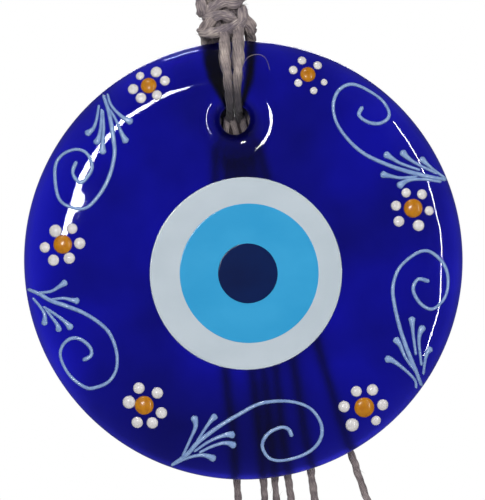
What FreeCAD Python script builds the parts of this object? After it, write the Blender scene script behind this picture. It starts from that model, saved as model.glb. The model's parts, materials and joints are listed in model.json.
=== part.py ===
"""Evil eye ornament: a flat glass bead with an enamelled front, hung in a knotted twine sling.

Millimetres. +X is the viewer's right, the glass front faces -Y, +Z is up.
The origin is the inside top of the hanging loop, where the nail or hook bears.
"""
import FreeCAD, Part
import math
import os
import Sketcher

Vector = FreeCAD.Vector

doc = FreeCAD.newDocument("evil_eye_ornament")
sheet = doc.addObject("Spreadsheet::Sheet", "Sizes")

SIZES = [
    # glass disc
    ("disc_dia", 130.0),          # across the rim
    ("disc_thickness", 9.0),      # front face to back face
    ("shoulder_radius", 24.0),    # slow round-over at the edge of the front face
    ("rim_radius", 3.0),          # tighter round at the rim itself
    ("back_radius", 3.5),         # round-over at the edge of the back face
    ("hole_dia", 8.8),            # throat that the sling passes through
    ("hole_below_rim", 23.3),     # rim to the middle of the hole
    ("flare_width", 7.0),         # dimple round the hole on the front, out from the throat
    ("flare_radius", 8.0),        # round of that dimple
    ("back_flare_radius", 2.0),   # small round at the back of the hole
    # poured eye
    ("eye_drop", 3.9),            # eye centre below the disc centre
    ("eye_shift", 0.5),           # eye centre to the right of the disc centre
    ("white_dia", 56.8),
    ("white_depth", 2.5),
    ("iris_dia", 41.2),
    ("iris_depth", 1.6),
    ("iris_shift", 1.0),          # iris to the right of the white ring's centre
    ("pupil_dia", 17.8),
    ("pupil_depth", 1.0),
    ("pupil_shift", 0.6),         # pupil to the right of the white ring's centre
    # enamel
    ("line_width", 1.35),         # scroll stems
    ("line_height", 0.55),        # stems and drops above the glass
    ("drop_root_width", 0.9),     # narrow end of a drop
    ("centre_dot_height", 1.1),
    ("petal_dot_height", 0.8),
    ("petal_share", 0.31),        # petal radius over the petal ring's radius
    ("centre_share", 0.54),       # centre dot radius over the petal ring's radius
    # hanger
    ("loop_cord_dia", 2.2),
    ("eye_width", 12.0),          # clear width of the hanging loop
    ("eye_height", 24.0),         # nail to the top of the wrap
    ("wrap_cord_dia", 2.4),
    ("wrap_turns", 4),
    ("filler_dia", 2.1),
    ("knot_cord_dia", 2.7),
    ("knot_pitch", 3.7),          # one half knot to the next
    ("square_knots", 6),
    ("half_knot_tilt", 3.0),      # degrees, alternately left and right
    ("cord_clearance", 0.15),     # between cords that lie on each other
    ("twist_gap", 0.2),           # wrap to the braid that twists under it
    ("neck_gap", 4.6),            # end of the braid to the rim of the disc
    ("swing_gap", 0.95),          # end of the braid to the sling that swings under it
    # sling
    ("front_strand_dia", 2.4),
    ("back_strand_dia", 2.1),
    ("sling_clearance", 0.5),     # sling cords to the glass that turns in them
    ("sling_knot_width", 16.6),
    ("sling_knot_depth", 9.2),
    ("sling_knot_height", 10.4),
    # tails
    ("tail_dia", 2.2),
    ("tail_pitch", 2.6),          # tails side by side under the sling knot
    ("tail_gap", 0.3),            # sling knot to the top of each tail
    ("tail_knot_dia", 5.0),
    ("tail_knot_height", 4.4),
    ("fray_length", 7.0),
    ("fray_dia", 3.4),
]
for row, (alias, number) in enumerate(SIZES, start=1):
    sheet.set("A%d" % row, alias)
    sheet.set("B%d" % row, str(number))
    sheet.setAlias("B%d" % row, alias)
doc.recompute()


def size(alias):
    """A driving size, read from the sheet."""
    return float(getattr(sheet, alias))


def number(formula):
    """What a formula over the sheet comes to."""
    result = sheet.evalExpression(formula)
    return float(getattr(result, "Value", result))


# ---------------------------------------------------------------- places worked out from the sizes

DISC_RADIUS = size("disc_dia") / 2
FRONT = size("disc_thickness") / 2
HOLE_UP = DISC_RADIUS - size("hole_below_rim")
WRAP_HEIGHT = size("wrap_turns") * size("wrap_cord_dia")
WRAP_FOOT = -size("eye_height") - WRAP_HEIGHT
HALF_KNOTS = int(2 * size("square_knots"))
BRAID_TOP = WRAP_FOOT - size("twist_gap")
BRAID_FOOT = BRAID_TOP - HALF_KNOTS * size("knot_pitch")
RIM_TOP = BRAID_FOOT - size("neck_gap")
HOLE_Z = RIM_TOP - size("hole_below_rim")
DISC_Z = RIM_TOP - DISC_RADIUS

# The disc is drawn lying down, with its front up (+Z), then stood up with its front to -Y.
DISC_PLACE = FreeCAD.Placement(Vector(0, 0, DISC_Z), FreeCAD.Rotation(Vector(1, 0, 0), 90))

parts = []


def keep(item, label):
    """Name a sub-part and put it on the list of solids to write."""
    item.Label = label
    parts.append(item)
    return item


def feature(label, shape, placement=None):
    """A sub-part whose shape is worked out here from the sheet's sizes."""
    item = doc.addObject("Part::Feature", label)
    item.Shape = shape
    if placement is not None:
        item.Placement = placement
    return keep(item, label)


# ---------------------------------------------------------------- sketches and bodies

def new_body(name):
    return doc.addObject("PartDesign::Body", name)


def new_sketch(body, name, plane_role):
    sketch = body.newObject("Sketcher::SketchObject", name)
    plane = [item for item in body.Origin.OriginFeatures if item.Role == plane_role][0]
    sketch.AttachmentSupport = [(plane, "")]
    sketch.MapMode = "FlatFace"
    return sketch


def pin_coordinate(sketch, geometry, end, direction, formula):
    """Hold one end of a line or arc at a distance from the sketch's axis."""
    distance = number(formula)
    if abs(distance) < 1e-9:
        axis = -2 if direction == "DistanceX" else -1
        sketch.addConstraint(Sketcher.Constraint("PointOnObject", geometry, end, axis))
        return
    index = sketch.addConstraint(Sketcher.Constraint(direction, geometry, end, distance))
    sketch.setExpression("Constraints[%d]" % index, formula)


def arc_between(start, end, radius, turn):
    """Minor arc between two points, always counter-clockwise as sketches keep them.

    turn is +1 where the outline bends to the left from start to end, -1 to the right.
    """
    chord = end - start
    half = chord.Length / 2
    rise = radius - math.sqrt(radius * radius - half * half)
    right = Vector(chord.y, -chord.x, 0)
    right.normalize()
    middle = (start + end) / 2 + right * rise * turn
    return Part.Arc(start, middle, end) if turn > 0 else Part.Arc(end, middle, start)


def draw_outline(sketch, corners):
    """Closed outline of (x, y, radius, turn); radius and turn shape the stretch after a corner."""
    points = [Vector(number(x), number(y), 0) for x, y, radius, turn in corners]
    ends = []
    for place, (x, y, radius, turn) in enumerate(corners):
        start = points[place]
        end = points[(place + 1) % len(points)]
        if radius is None:
            geometry = sketch.addGeometry(Part.LineSegment(start, end))
            forward = True
        else:
            geometry = sketch.addGeometry(arc_between(start, end, number(radius), turn))
            forward = turn > 0
            index = sketch.addConstraint(Sketcher.Constraint("Radius", geometry, number(radius)))
            sketch.setExpression("Constraints[%d]" % index, radius)
        ends.append((geometry, 1 if forward else 2, 2 if forward else 1))
    for place, (x, y, radius, turn) in enumerate(corners):
        geometry, first, last = ends[place]
        before, before_first, before_last = ends[place - 1]
        sketch.addConstraint(
            Sketcher.Constraint("Coincident", before, before_last, geometry, first))
        pin_coordinate(sketch, geometry, first, "DistanceX", x)
        pin_coordinate(sketch, geometry, first, "DistanceY", y)


# ---------------------------------------------------------------- glass disc

RADIUS = "Sizes.disc_dia / 2"
HALF = "Sizes.disc_thickness / 2"
# Cosine and sine of the shoulder's turn, which leave the rim tangent to both rounds.
TURN_COS = ("((Sizes.shoulder_radius - Sizes.disc_thickness + Sizes.back_radius)"
            " / (Sizes.shoulder_radius - Sizes.rim_radius))")
TURN_SIN = "sqrt(1 - %s^2)" % TURN_COS
FLAT_RADIUS = ("(%s - Sizes.shoulder_radius * %s - Sizes.rim_radius * (1 - %s))"
               % (RADIUS, TURN_SIN, TURN_SIN))


def disc_outline(proud, back):
    """Half section of the disc; proud moves the front out by the thickness of a skin."""
    return [
        ("0", "%s + %s" % (HALF, proud), None, 0),
        (FLAT_RADIUS, "%s + %s" % (HALF, proud), "Sizes.shoulder_radius + %s" % proud, -1),
        ("%s + (Sizes.shoulder_radius + %s) * %s" % (FLAT_RADIUS, proud, TURN_SIN),
         "%s - Sizes.shoulder_radius + (Sizes.shoulder_radius + %s) * %s" % (HALF, proud, TURN_COS),
         "Sizes.rim_radius + %s" % proud, -1),
        ("%s + %s" % (RADIUS, proud), "Sizes.back_radius - %s" % HALF) + back[0],
    ] + back[1:]


def revolve(body, name, outline, kind):
    """A body of revolution about the upright axis of its sketch."""
    sketch = new_sketch(body, name + "_section", "XZ_Plane")
    draw_outline(sketch, outline)
    turned = body.newObject(kind, name)
    turned.Profile = sketch
    turned.ReferenceAxis = (sketch, ["V_Axis"])
    turned.Angle = 360
    sketch.Visibility = False
    return sketch, turned


def disc_blank():
    """The disc before the eye is let into it: a lens-edged plate with the sling's hole."""
    body = new_body("disc_blank")
    round_back = [
        ("Sizes.back_radius", -1),
        ("%s - Sizes.back_radius" % RADIUS, "-%s" % HALF, None, 0),
        ("0", "-%s" % HALF, None, 0),
    ]
    revolve(body, "plate", disc_outline("0", round_back), "PartDesign::Revolution")
    doc.recompute()
    solid_before = body.Shape.Volume

    throat = "Sizes.hole_dia / 2"
    flare = throat + " + Sizes.flare_width"
    meeting = ("%s - Sizes.flare_radius + sqrt(Sizes.flare_radius^2 - Sizes.flare_width^2)"
               % HALF)
    outline = [
        ("0", "%s + 1" % HALF, None, 0),
        (flare, "%s + 1" % HALF, None, 0),
        (flare, HALF, "Sizes.flare_radius", 1),
        (throat, meeting, None, 0),
        (throat, "Sizes.back_flare_radius - %s" % HALF, "Sizes.back_flare_radius", 1),
        ("%s + Sizes.back_flare_radius" % throat, "-%s" % HALF, None, 0),
        ("%s + Sizes.back_flare_radius" % throat, "-%s - 1" % HALF, None, 0),
        ("0", "-%s - 1" % HALF, None, 0),
    ]
    sketch, groove = revolve(body, "hole", outline, "PartDesign::Groove")
    sketch.setExpression(".AttachmentOffset.Base.z", "Sizes.hole_below_rim - %s" % RADIUS)
    doc.recompute()
    if body.Shape.Volume > solid_before - math.pi * (size("hole_dia") / 2) ** 2 * FRONT:
        raise RuntimeError("the sling's hole was not cut")
    return body


def enamel_limit():
    """The disc with a skin of enamel all over its front; strokes are cut to this height."""
    body = new_body("enamel_limit")
    flat_back = [(None, 0), ("0", "Sizes.back_radius - %s" % HALF, None, 0)]
    revolve(body, "skin", disc_outline("Sizes.line_height", flat_back), "PartDesign::Revolution")
    return body


def plug(name, diameter, depth, shift):
    """Round tool that reaches from a layer's floor to above the front face."""
    cylinder = doc.addObject("Part::Cylinder", name)
    cylinder.setExpression("Radius", "Sizes.%s / 2" % diameter)
    cylinder.setExpression("Height", "Sizes.%s + 1" % depth)
    cylinder.setExpression(".Placement.Base.x", shift)
    cylinder.setExpression(".Placement.Base.y", "-Sizes.eye_drop")
    cylinder.setExpression(".Placement.Base.z", "%s - Sizes.%s" % (HALF, depth))
    return cylinder


def boolean(kind, name, base, tool):
    result = doc.addObject(kind, name)
    result.Base = base
    result.Tool = tool
    return result


def eye_layers(blank):
    """White, light blue and black glass, each let into the one below and flush with the front."""
    white = plug("white_plug", "white_dia", "white_depth", "Sizes.eye_shift")
    iris = plug("iris_plug", "iris_dia", "iris_depth", "Sizes.eye_shift + Sizes.iris_shift")
    pupil = plug("pupil_plug", "pupil_dia", "pupil_depth", "Sizes.eye_shift + Sizes.pupil_shift")
    layers = [
        ("glass_body", boolean("Part::Cut", "glass_body", blank, white)),
        ("white_layer", boolean("Part::Cut", "white_layer",
                                boolean("Part::Common", "white_pour", blank, white), iris)),
        ("iris_layer", boolean("Part::Cut", "iris_layer",
                               boolean("Part::Common", "iris_pour", blank, iris), pupil)),
        ("pupil_layer", boolean("Part::Common", "pupil_layer", blank, pupil)),
    ]
    for label, layer in layers:
        layer.Placement = DISC_PLACE
        keep(layer, label)


# ---------------------------------------------------------------- enamel dots and strokes

# The painter's pattern grows and shrinks with the disc: its lengths are in hundredths of the
# disc's radius.
PAINT = DISC_RADIUS / 100

# Each daisy: clock angle and distance of its centre on the disc, radius of its ring of petals,
# and the clock angle of its first petal.
DAISIES = [
    (-25.0, 89.7, 6.8, 24.0),
    (22.6, 88.6, 6.9, 25.0),
    (76.4, 80.3, 7.8, 40.0),
    (144.0, 85.4, 8.6, 40.0),
    (217.8, 79.4, 8.2, 42.0),
    (278.5, 82.0, 7.8, 42.0),
]
PETALS = 6

# Each scroll: clock angle of its root on the rim, its size, its heading off the rim,
# and the heads of its five drops, along the rim and in from it.
SCROLLS = [
    (-36.8, 0.94, 62.0,
     [(-2.0, 18.6), (5.8, 24.0), (17.7, 20.8), (17.2, 15.2), (17.8, 8.8)]),
    (71.9, 1.07, 55.0,
     [(5.2, 22.3), (13.7, 27.4), (21.8, 22.3), (20.0, 14.6), (14.0, 7.5)]),
    (128.7, 1.09, 57.0,
     [(0.5, 21.5), (10.9, 23.4), (23.2, 22.5), (23.1, 15.5), (17.2, 6.6)]),
    (202.9, 1.26, 56.0,
     [(2.2, 25.2), (11.8, 29.1), (22.9, 23.4), (24.9, 18.6), (18.3, 9.8)]),
    (265.9, 1.0, 60.0,
     [(-1.1, 18.6), (8.6, 23.1), (20.8, 18.0), (21.2, 11.8), (17.5, 5.5)]),
]
# A scroll of size 1 is a chain of tangent arcs, each a radius and a turn, that winds up.
SCROLL_ARCS = [(169.2, 9.0), (29.2, 41.0), (15.4, 59.0), (11.1, 90.0),
               (17.7, 50.0), (6.8, 85.0), (7.7, 75.0), (5.1, 85.0)]
# Roots of the five drops, as shares of the length of the stem's first two arcs.
DROP_ROOTS = [0.05, 0.22, 0.2, 0.17, 0.06]
DROP_HEADS = [2.1, 1.9, 1.8, 2.1, 2.2]  # radii
SLIVER = 0.05  # mm3


def front_surface(radius):
    """Height and tilt of the disc's front at a distance from its centre, as (z, degrees)."""
    shoulder = size("shoulder_radius")
    rim = size("rim_radius")
    flat = number(FLAT_RADIUS)
    full_turn = math.degrees(math.acos(number(TURN_COS)))
    out = radius - flat
    if out <= 0:
        return FRONT, 0.0
    if out < shoulder * math.sin(math.radians(full_turn)):
        tilt = math.asin(out / shoulder)
        return FRONT - shoulder * (1 - math.cos(tilt)), math.degrees(tilt)
    centre_out = DISC_RADIUS - rim
    centre_z = FRONT - size("disc_thickness") + size("back_radius")
    tilt = math.asin(min((radius - centre_out) / rim, 1.0))
    return centre_z + rim * math.cos(tilt), math.degrees(tilt)


def enamel_dot(x, y, radius, height):
    """A drop of enamel: the cap of a ball, flat on the glass where it sits."""
    ball = (radius * radius + height * height) / (2 * height)
    distance = math.hypot(x, y)
    level, tilt = front_surface(distance)
    lean = math.sin(math.radians(tilt))
    normal = Vector(lean * x / distance, lean * y / distance, math.cos(math.radians(tilt)))
    centre = Vector(x, y, level) - normal * (ball - height)
    base = math.degrees(math.asin((ball - height) / ball))
    return Part.makeSphere(ball, centre, normal, base, 90, 360)


def daisies():
    for place, (clock, distance, petal_ring, first) in enumerate(DAISIES, start=1):
        x = distance * PAINT * math.sin(math.radians(clock))
        y = distance * PAINT * math.cos(math.radians(clock))
        ring = petal_ring * PAINT
        centre = enamel_dot(x, y, ring * size("centre_share"), size("centre_dot_height"))
        feature("daisy_centre_%d" % place, centre, DISC_PLACE)
        petals = []
        for petal in range(PETALS):
            angle = math.radians(first + petal * 360 / PETALS)
            petals.append(enamel_dot(x + ring * math.sin(angle), y + ring * math.cos(angle),
                                     ring * size("petal_share"), size("petal_dot_height")))
        feature("daisy_petals_%d" % place, Part.makeCompound(petals), DISC_PLACE)


def stem_outline(arcs, heading, width):
    """Ribbon along a chain of tangent arcs that all turn the same way, with round ends.

    It starts at the origin; heading is measured up from +X. Returns the face and, for each
    stretch, where it starts, its centre, radius and headings.
    """
    half = width / 2
    point = Vector(0, 0, 0)
    outer = []
    inner = []
    stretches = []
    angle = heading
    for radius, turn in arcs:
        start = math.radians(angle)
        centre = point + Vector(math.sin(start), -math.cos(start), 0) * radius
        marks = []
        for share in (0, 0.5, 1):
            here = math.radians(angle - turn * share)
            marks.append(Vector(-math.sin(here), math.cos(here), 0))
        outer.append(Part.Arc(*[centre + mark * (radius + half) for mark in marks]).toShape())
        inner.append(Part.Arc(*[centre + mark * (radius - half) for mark in marks]).toShape())
        stretches.append((point, centre, radius, angle, turn))
        point = centre + marks[2] * radius
        angle -= turn
    last = math.radians(angle)
    first = math.radians(heading)
    tip = Part.Arc(outer[-1].Vertexes[-1].Point,
                   point + Vector(math.cos(last), math.sin(last), 0) * half,
                   inner[-1].Vertexes[-1].Point).toShape()
    root = Part.Arc(inner[0].Vertexes[0].Point,
                    Vector(-math.cos(first), -math.sin(first), 0) * half,
                    outer[0].Vertexes[0].Point).toShape()
    wire = Part.Wire(Part.__sortEdges__(outer + [tip] + inner + [root]))
    return Part.Face(wire), stretches


def along_stem(stretches, distance):
    """Point and heading at a distance along the stem."""
    for point, centre, radius, angle, turn in stretches:
        length = radius * math.radians(turn)
        if distance <= length:
            here = math.radians(angle - math.degrees(distance / radius))
            return centre + Vector(-math.sin(here), math.cos(here), 0) * radius, here
        distance -= length
    raise ValueError("past the end of the stem")


def drop_outline(root, heading, head, root_half, head_radius):
    """Teardrop that leaves the stem along its heading and bends over to its round head."""
    reach = (head - root).Length
    leave = Vector(math.cos(heading), math.sin(heading), 0)
    middle = root + leave * reach * 0.33 + (head - root) * 0.25
    arrive = head - middle
    arrive.normalize()
    path = [(root, leave, root_half),
            (middle, (head - root).normalize(), (root_half * 2 + head_radius) / 3),
            (head, arrive, head_radius)]
    left = [point + Vector(-way.y, way.x, 0) * half for point, way, half in path]
    right = [point - Vector(-way.y, way.x, 0) * half for point, way, half in path]
    edges = [
        Part.Arc(*left).toShape(),
        Part.Arc(left[2], head + arrive * head_radius, right[2]).toShape(),
        Part.Arc(right[2], right[1], right[0]).toShape(),
        Part.LineSegment(right[0], left[0]).toShape(),
    ]
    return Part.Face(Part.Wire(edges))


def scrolls(blank, limit):
    """Painted scrolls: a winding stem from the rim, and five drops that fan off its root."""
    skin = limit.Shape.cut(blank.Shape)
    width = size("line_width")
    root_half = size("drop_root_width") / 2
    for place, (clock, scale, heading, heads) in enumerate(SCROLLS, start=1):
        arcs = [(radius * scale * PAINT, turn) for radius, turn in SCROLL_ARCS]
        face, stretches = stem_outline(arcs, heading, width)
        fan_length = sum(radius * math.radians(turn) for radius, turn in arcs[:2])
        drops = []
        for share, head, head_radius in zip(DROP_ROOTS, heads, DROP_HEADS):
            root, way = along_stem(stretches, share * fan_length)
            side = 1 if head[1] * math.cos(way) > head[0] * math.sin(way) else -1
            root = root + Vector(-math.sin(way), math.cos(way), 0) * side * (width / 2 + root_half)
            drops.append(drop_outline(root, way, Vector(head[0], head[1], 0) * PAINT,
                                      root_half, head_radius * PAINT))
        # From (along the rim, inwards) to the disc: the root sits on the rim at its clock angle.
        edge = DISC_RADIUS - size("rim_radius") / 3
        turn = FreeCAD.Rotation(Vector(0, 0, 1), 180 - clock)
        place_on_disc = FreeCAD.Placement(turn.multVec(Vector(0, -edge, 0)), turn)
        stem = stroke(face, place_on_disc, skin)
        feature("scroll_stem_%d" % place, stem, DISC_PLACE)
        raised = [stroke(drop, place_on_disc, skin) for drop in drops]
        fan = raised[0].multiFuse(raised[1:]).removeSplitter().cut(stem)
        feature("scroll_drops_%d" % place, Part.makeCompound(whole_solids(fan)), DISC_PLACE)


def whole_solids(shape):
    """The solids of a stroke without the slivers that a cut leaves off the rim."""
    return [solid for solid in shape.Solids if solid.Volume > SLIVER]


def stroke(face, placement, skin):
    """Raise a flat outline through the enamel skin."""
    flat = face.copy()
    flat.Placement = placement
    height = FRONT + 2 * size("line_height")
    raised = flat.extrude(Vector(0, 0, height)).common(skin)
    return Part.makeCompound(whole_solids(raised))


# ---------------------------------------------------------------- cords

def corner_radius(before, here, after, share):
    """Radius of the arc that rounds a corner, and half of the corner's turn."""
    run_in = here - before
    run_out = after - here
    half_turn = run_in.getAngle(run_out) / 2
    return share * min(run_in.Length, run_out.Length) / math.tan(half_turn), half_turn


def route(points, share=0.45):
    """Straight runs joined by tangent arcs, as one wire."""
    points = [Vector(*point) for point in points]
    edges = []
    last = points[0]
    for before, here, after in zip(points, points[1:], points[2:]):
        radius, half_turn = corner_radius(before, here, after, share)
        back = (before - here).normalize()
        on = (after - here).normalize()
        cut = radius * math.tan(half_turn)
        inwards = (back + on).normalize()
        middle = here + inwards * (radius / math.cos(half_turn) - radius)
        start = here + back * cut
        end = here + on * cut
        edges.append(Part.LineSegment(last, start).toShape())
        edges.append(Part.Arc(start, middle, end).toShape())
        last = end
    edges.append(Part.LineSegment(last, points[-1]).toShape())
    return Part.Wire(edges)


def tube(wire, diameter, name):
    """Round cord along a wire, checked against its section times its length."""
    start = wire.Edges[0].firstVertex().Point
    way = wire.Edges[0].tangentAt(wire.Edges[0].FirstParameter)
    section = Part.Wire(Part.makeCircle(diameter / 2, start, way))
    solid = wire.makePipeShell([section], True, False)
    wanted = math.pi * diameter ** 2 / 4 * wire.Length
    if abs(solid.Volume - wanted) > 0.01 * wanted:
        raise RuntimeError("%s: volume %.1f, wanted %.1f" % (name, solid.Volume, wanted))
    return solid


def ring(half_x, half_y, bundled, diameter, level, tilt, name):
    """One turn of cord round a bundle that reaches half_x and half_y from its middle."""
    out = size("cord_clearance") + diameter / 2
    x = half_x + out
    y = half_y + out
    corner = (bundled / 2 + out) * 0.98
    points = []
    for along, across in ((x, y), (-x, y), (-x, -y), (x, -y)):
        points.append(Vector(along, across, 0))
    edges = []
    last = None
    first = None
    for place, here in enumerate(points):
        back = (points[place - 1] - here).normalize() * corner
        on = (points[(place + 1) % 4] - here).normalize() * corner
        middle = here + (back + on) * (1 - math.sqrt(0.5))
        if last is not None:
            edges.append(Part.LineSegment(last, here + back).toShape())
        else:
            first = here + back
        edges.append(Part.Arc(here + back, middle, here + on).toShape())
        last = here + on
    edges.append(Part.LineSegment(last, first).toShape())
    wire = Part.Wire(edges)
    wire.Placement = FreeCAD.Placement(Vector(0, 0, level),
                                       FreeCAD.Rotation(Vector(0, 1, 0), tilt))
    return tube(wire, diameter, name)


# ---------------------------------------------------------------- hanger

def hanging_loop():
    """Three cords folded over the nail, side by side; their six legs meet in the wrap."""
    cord = size("loop_cord_dia")
    half_eye = size("eye_width") / 2 + cord / 2
    leg = (cord + size("cord_clearance")) / 2
    top = cord / 2
    shoulder = -size("eye_height") / 2
    legs = []
    for row in (-1, 0, 1):
        y = row * (cord + size("cord_clearance"))
        right = [
            (half_eye * 0.42, y, top),
            (half_eye, y, top - half_eye * 0.5),
            (half_eye, y, shoulder),
            (leg, y, -size("eye_height") + 2.3 * cord),
            (leg, y, WRAP_FOOT),
        ]
        left = [(-x, y, z) for x, y, z in right]
        legs.append(tube(route(left[::-1] + right), cord, "hanging_loop"))
    feature("hanging_loop", Part.makeCompound(legs))


def loop_wrap():
    """Turns of cord that bind the six legs under the loop."""
    cord = size("wrap_cord_dia")
    loop_cord = size("loop_cord_dia")
    half_x = size("cord_clearance") / 2 + loop_cord
    half_y = loop_cord * 1.5 + size("cord_clearance")
    turns = []
    for turn in range(int(size("wrap_turns"))):
        level = -size("eye_height") - (turn + 0.5) * cord
        turns.append(ring(half_x, half_y, loop_cord, cord, level, 0, "loop_wrap"))
    feature("loop_wrap", Part.makeCompound(turns))


def filler_row():
    """Places of the four filler cords, in a flat row."""
    step = size("filler_dia")
    return [(place - 1.5) * step for place in range(4)]


def braid():
    """Flat braid: four straight filler cords, and square knots tied round them."""
    radius = size("filler_dia") / 2
    length = BRAID_TOP - BRAID_FOOT
    cords = [Part.makeCylinder(radius, length, Vector(x, 0, BRAID_FOOT)) for x in filler_row()]
    feature("filler_cords", Part.makeCompound(cords))
    half_x = 4 * radius
    for knot in range(int(size("square_knots"))):
        halves = []
        for half in (0, 1):
            level = BRAID_TOP - (2 * knot + half + 0.5) * size("knot_pitch")
            tilt = size("half_knot_tilt") * (1 if half else -1)
            halves.append(ring(half_x, radius, 2 * radius, size("knot_cord_dia"), level, tilt,
                               "square_knot"))
        feature("square_knot_%d" % (knot + 1), Part.makeCompound(halves))


# ---------------------------------------------------------------- sling

KNOT_CENTRE = Vector(0, FRONT + size("sling_clearance") + size("sling_knot_depth") / 2,
                     HOLE_Z - 2.5)


def front_strand_route(side):
    """From under the braid, over the shoulder, down the front, through the hole to the knot."""
    thick = size("front_strand_dia") / 2
    clear = size("sling_clearance")
    skin = -FRONT - thick - clear
    apart = thick + size("cord_clearance") / 2
    throat = HOLE_Z + size("hole_dia") / 2 - 2 * thick
    drop = size("hole_below_rim")
    return [
        (side * 1.9, -FRONT / 3, BRAID_FOOT - size("swing_gap")),
        (side * 1.9, -FRONT * 0.8, RIM_TOP + 1.0),
        (side * 1.9, skin + 0.8, RIM_TOP - drop * 0.17),
        (side * 1.8, skin - 0.4, RIM_TOP - drop * 0.47),
        (side * 1.4, skin + 0.1, RIM_TOP - drop * 0.725),
        (side * apart, -FRONT / 3, throat),
        (side * apart, FRONT + 1.2, throat - 0.5),
        (side * apart, KNOT_CENTRE.y - 1.2, KNOT_CENTRE.z + size("sling_knot_height") * 0.13),
    ]


def back_strand_route(x):
    """From under the braid, over the rim and down the back to the top of the knot."""
    thick = size("back_strand_dia") / 2
    skin = FRONT + thick + size("sling_clearance")
    drop = size("hole_below_rim")
    return [
        (x, FRONT / 3, BRAID_FOOT - size("swing_gap")),
        (x, skin - 1.2, RIM_TOP + 1.1),
        (x, skin + 1.0, RIM_TOP - drop * 0.13),
        (x * 0.98, skin, RIM_TOP - drop * 0.47),
        (x * 0.9, KNOT_CENTRE.y + 0.9, KNOT_CENTRE.z + size("sling_knot_height") * 0.35),
    ]


def sling():
    strands = []
    for name, side in (("left", -1), ("right", 1)):
        cord = tube(route(front_strand_route(side)), size("front_strand_dia"), "front_strand")
        strands.append(feature("front_strand_" + name, cord))
    cords = []
    for x in filler_row():
        spread = x * (size("back_strand_dia") + 0.4) / size("filler_dia")
        cords.append(tube(route(back_strand_route(spread)), size("back_strand_dia"),
                          "back_strands"))
    strands.append(feature("back_strands", Part.makeCompound(cords)))

    ball = doc.addObject("Part::Ellipsoid", "knot_ball")
    ball.setExpression("Radius1", "Sizes.sling_knot_width / 2")
    ball.setExpression("Radius2", "Sizes.sling_knot_height / 2")
    ball.setExpression("Radius3", "Sizes.sling_knot_depth / 2")
    # Its poles point sideways and its seam down, clear of the strands that run into it.
    ball.Placement = FreeCAD.Placement(KNOT_CENTRE, FreeCAD.Rotation(Vector(0, 1, 0), 90))
    doc.recompute()
    knot = ball.Shape
    for strand in strands:
        knot = knot.cut(strand.Shape)
    feature("sling_knot", knot.Solids[0])


# ---------------------------------------------------------------- tails

# Each tail, from left to right: how far it has spread at the disc's middle, at the rim's foot,
# and at its end, and its length below the rim's foot.
TAILS = [
    (-8.4, -5.6, -7.5, 56.0),
    (-0.6, 2.2, 1.6, 62.0),
    (3.0, 5.4, 6.8, 52.0),
    (6.6, 9.0, 16.0, 58.0),
    (10.4, 16.4, 21.5, 64.0),
    (15.8, 29.4, 49.0, 54.0),
]


def tail_points(place):
    """Top of a tail under the sling knot, and the points that its twine runs through."""
    middle, foot, end, below = TAILS[place]
    x = (place - 2.5) * size("tail_pitch")
    radius = size("tail_dia") / 2
    width = size("sling_knot_width") / 2
    under = size("sling_knot_height") / 2 * math.sqrt(1 - (x / width) ** 2)
    y = KNOT_CENTRE.y
    top = KNOT_CENTRE.z - under - (size("tail_gap") + radius) * math.hypot(1, 0.7 * x / width)
    rim_foot = DISC_Z - DISC_RADIUS
    last = rim_foot - below
    return [
        (x, y, top),
        (x + (middle - x) * 0.42, y, top + (DISC_Z - top) * 0.55),
        (middle, y, DISC_Z - 3.0),
        (middle + (foot - middle) * 0.44, y, (DISC_Z + rim_foot) / 2),
        (foot, y, rim_foot + 2.0),
        (foot + (end - foot) * 0.42, y, rim_foot + (last - rim_foot) * 0.46),
        (end, y, last),
    ]


def tail_knot(bottom, way):
    """Overhand knot at the end of a tail, with the short frayed end below it."""
    radius = size("tail_knot_dia") / 2
    height = size("tail_knot_height")
    fray = size("fray_dia") / 2
    waist = size("tail_dia") / 2
    length = size("fray_length")
    profile = [
        Vector(0, 0, 0), Vector(waist, 0, 0),
        Vector(waist, 0, -height), Vector(fray, 0, -height - length), Vector(0, 0, -height - length),
    ]
    bulge = Part.Arc(profile[1], Vector(radius, 0, -height / 2), profile[2]).toShape()
    edges = [
        Part.LineSegment(profile[0], profile[1]).toShape(),
        bulge,
        Part.LineSegment(profile[2], profile[3]).toShape(),
        Part.LineSegment(profile[3], profile[4]).toShape(),
        Part.LineSegment(profile[4], profile[0]).toShape(),
    ]
    turned = Part.Face(Part.Wire(edges)).revolve(Vector(), Vector(0, 0, 1), 360)
    turned.Placement = FreeCAD.Placement(bottom, FreeCAD.Rotation(Vector(0, 0, -1), way))
    return turned


def tails():
    radius = size("tail_dia") / 2
    for place in range(len(TAILS)):
        points = tail_points(place)
        wire = route(points)
        cord = tube(wire, size("tail_dia"), "tail")
        cord = cord.fuse(Part.makeSphere(radius, Vector(*points[0]))).removeSplitter()
        feature("tail_%d" % (place + 1), cord)
        way = Vector(*points[-1]) - Vector(*points[-2])
        feature("tail_knot_%d" % (place + 1), tail_knot(Vector(*points[-1]), way))
        print("tail %d: %.0f mm long, pivot %s"
              % (place + 1, wire.Length, [round(value, 2) for value in points[0]]))


# ---------------------------------------------------------------- build, check and write

blank = disc_blank()
limit = enamel_limit()
eye_layers(blank)
doc.recompute()
daisies()
scrolls(blank, limit)
hanging_loop()
loop_wrap()
braid()
sling()
tails()
doc.recompute()

for item in doc.Objects:
    if "Invalid" in item.State or "Error" in item.State:
        raise RuntimeError("%s did not build: %s" % (item.Name, item.State))
for item in parts:
    shape = item.Shape
    if shape.isNull() or not shape.isValid() or not shape.Solids:
        raise RuntimeError("%s has no valid solid" % item.Label)
    if min(solid.Volume for solid in shape.Solids) <= 0:
        raise RuntimeError("%s is inside out" % item.Label)

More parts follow.
